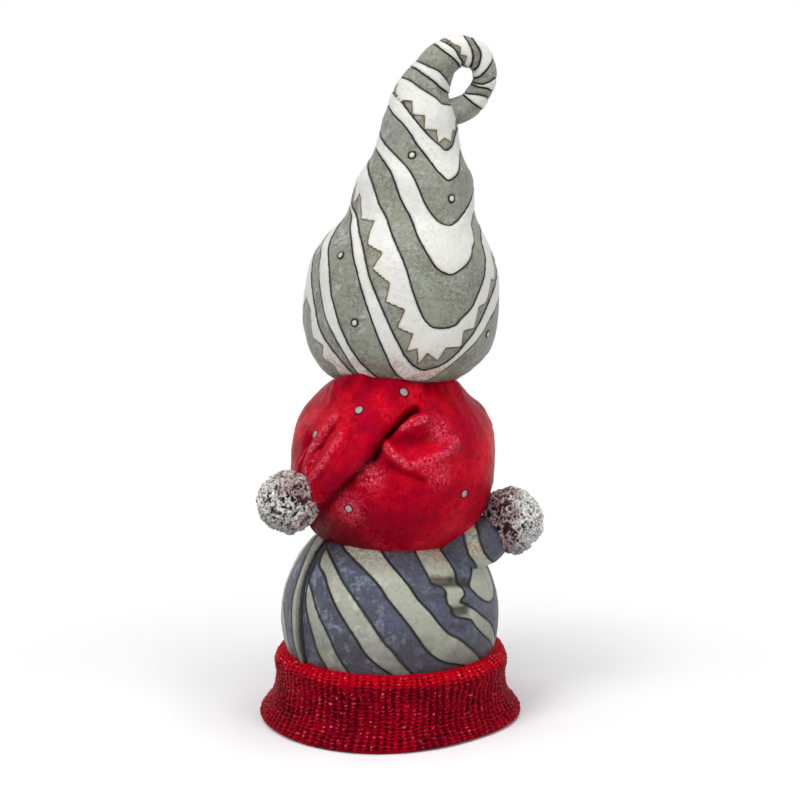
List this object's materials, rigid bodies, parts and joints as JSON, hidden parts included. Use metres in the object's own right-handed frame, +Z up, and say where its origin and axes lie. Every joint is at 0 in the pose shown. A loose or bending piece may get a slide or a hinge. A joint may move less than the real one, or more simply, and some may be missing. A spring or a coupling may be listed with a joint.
{
  "type": "garden figurine",
  "caption": "Garden figurine cast in one piece: stacked striped and plain knitted hats with silver pompoms and a curled tip, standing on a flared ribbed knit cuff.",
  "frame": {"origin": "middle of the flat base, on the floor", "axes": "+Z up along the stack, -Y towards the pictured side, +X to the right in the picture"},
  "size_m": [0.2243, 0.2085, 0.5332],
  "materials": {
    "painted_resin": "painted cast resin, satin, with a brown wash in the grooves",
    "red_knit": "crimson paint on cast knit, dry-brushed lighter on the ridges",
    "blue_knit": "slate blue and sage stripes with dark engraved lines",
    "grey_knit": "sage grey with off-white bands, dots and dark engraved lines",
    "silver_pompom": "silver paint on a crinkled surface with dark recesses"
  },
  "bodies": {
    "root": {"figurine": "painted_resin"}
  },
  "joints": []
}
